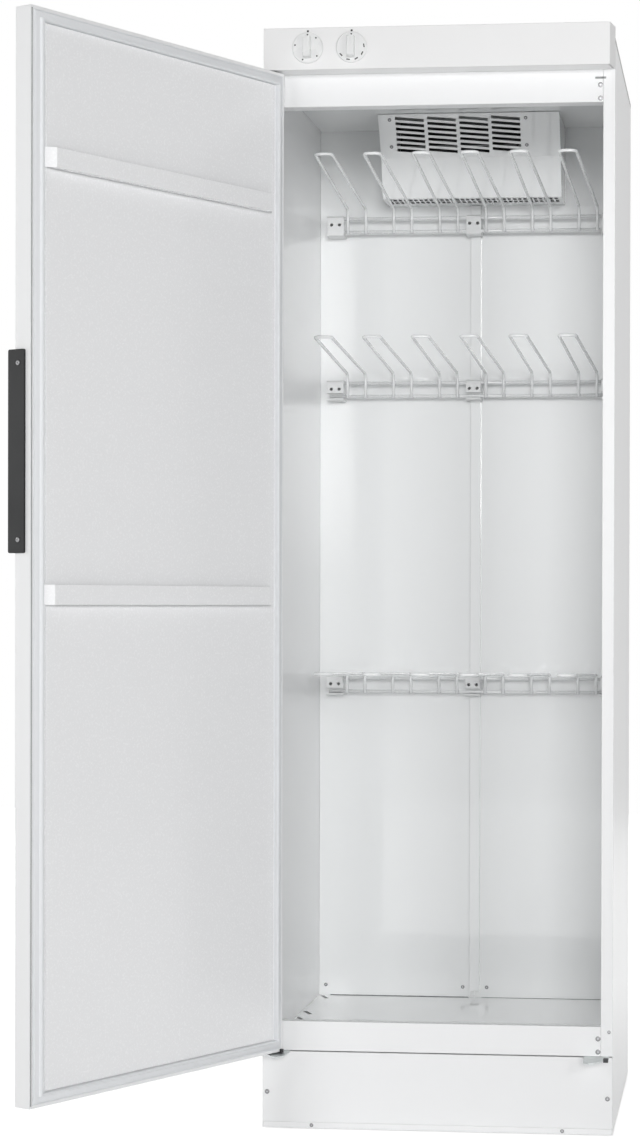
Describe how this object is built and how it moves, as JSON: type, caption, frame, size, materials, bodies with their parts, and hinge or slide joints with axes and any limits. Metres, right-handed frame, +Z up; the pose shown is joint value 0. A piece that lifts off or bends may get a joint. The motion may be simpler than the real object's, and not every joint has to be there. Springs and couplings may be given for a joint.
{
  "type": "drying cabinet",
  "caption": "Tall free-standing drying cabinet with a hinged door, two front knobs, a heater and fan box under the ceiling and tiered wire racks of hairpin prongs.",
  "frame": {"origin": "on the floor under the middle of the cabinet body, whose sides lie at x = -0.2975 and 0.2975 m and whose front and back lie at y = -0.28 and 0.28 m", "axes": "+X to the right seen from the front, +Y from the front to the back, +Z up"},
  "size_m": [0.8807, 1.0994, 1.883],
  "materials": {
    "enamel_white": "satin",
    "enamel_inner": "glossy",
    "zinc_steel": "satin",
    "bright_steel": "satin",
    "dark_alloy": "satin",
    "white_plastic": "satin",
    "black_plastic": "matte",
    "coated_wire": "glossy",
    "soft_seal": "matte"
  },
  "bodies": {
    "cabinet": {"side_panel_left": "enamel_white", "side_panel_right": "enamel_white", "back_panel_left": "enamel_inner", "back_panel_right": "enamel_inner", "centre_rail": "enamel_inner", "top_panel": "enamel_white", "ceiling_panel": "enamel_inner", "floor_pan": "enamel_inner", "base_frame": "zinc_steel", "levelling_feet": "black_plastic", "plinth_panel": "enamel_white", "beam_bottom": "enamel_white", "beam_top": "enamel_white", "control_panel": "enamel_white", "control_bracket": "zinc_steel", "timer_unit": "black_plastic", "program_switch": "black_plastic", "terminal_block": "white_plastic", "cable_gland": "black_plastic", "heater_casing": "enamel_inner", "fan_housing": "zinc_steel", "fan_motor": "dark_alloy", "fan_bearing": "bright_steel", "heating_element": "dark_alloy", "element_holders": "zinc_steel", "thermal_cutouts": "black_plastic", "exhaust_spigot": "zinc_steel", "wall_brackets": "zinc_steel", "rack_brackets_top": "white_plastic", "rack_brackets_middle": "white_plastic", "rack_brackets_low": "white_plastic", "rack_top": "coated_wire", "hinge_plate_upper": "zinc_steel", "hinge_plate_lower": "zinc_steel", "hinge_plate_spare": "zinc_steel", "hinge_pins": "bright_steel", "hinge_plug": "black_plastic", "door_switch": "black_plastic", "beam_screws": "bright_steel", "plinth_screws": "bright_steel", "casing_screws": "bright_steel", "back_screws": "bright_steel", "bracket_screws": "bright_steel"},
    "door": {"door_outer_panel": "enamel_white", "door_inner_panel": "enamel_inner", "door_stiffeners": "zinc_steel", "door_gasket": "soft_seal", "door_rail_upper": "enamel_inner", "door_rail_lower": "enamel_inner", "door_handle": "black_plastic", "door_bushes": "black_plastic", "handle_screws": "bright_steel"},
    "program_knob": {"program_knob": "white_plastic"},
    "timer_knob": {"timer_knob": "white_plastic"},
    "fan_rotor": {"fan_wheel": "zinc_steel", "fan_shaft": "bright_steel"},
    "hanging_rack_middle": {"rack_middle": "coated_wire"},
    "hanging_rack_low": {"rack_low": "coated_wire"}
  },
  "joints": [
    {"name": "door_hinge", "type": "hinge", "parent": "cabinet", "child": "door", "pos_m": [-0.281, -0.306, 0.137], "axis": [0, 0, 1], "range_deg": [-1.2, 118.8]},
    {"name": "program_turn", "type": "hinge", "parent": "cabinet", "child": "program_knob", "pos_m": [-0.2155, -0.32, 1.822], "axis": [0, -1, 0], "range_deg": [0, 282]},
    {"name": "timer_turn", "type": "hinge", "parent": "cabinet", "child": "timer_knob", "pos_m": [-0.1415, -0.32, 1.822], "axis": [0, -1, 0], "range_deg": [0, 270]},
    {"name": "fan_spin", "type": "hinge", "parent": "cabinet", "child": "fan_rotor", "pos_m": [0, 0.205, 1.752], "axis": [1, 0, 0], "continuous": true},
    {"name": "rack_middle_lift", "type": "hinge", "parent": "cabinet", "child": "hanging_rack_middle", "pos_m": [0, 0.245, 1.311], "axis": [-1, 0, 0], "range_deg": [0, 44]},
    {"name": "rack_low_lift", "type": "hinge", "parent": "cabinet", "child": "hanging_rack_low", "pos_m": [0, 0.245, 0.7505], "axis": [-1, 0, 0], "range_deg": [0, 84]}
  ]
}
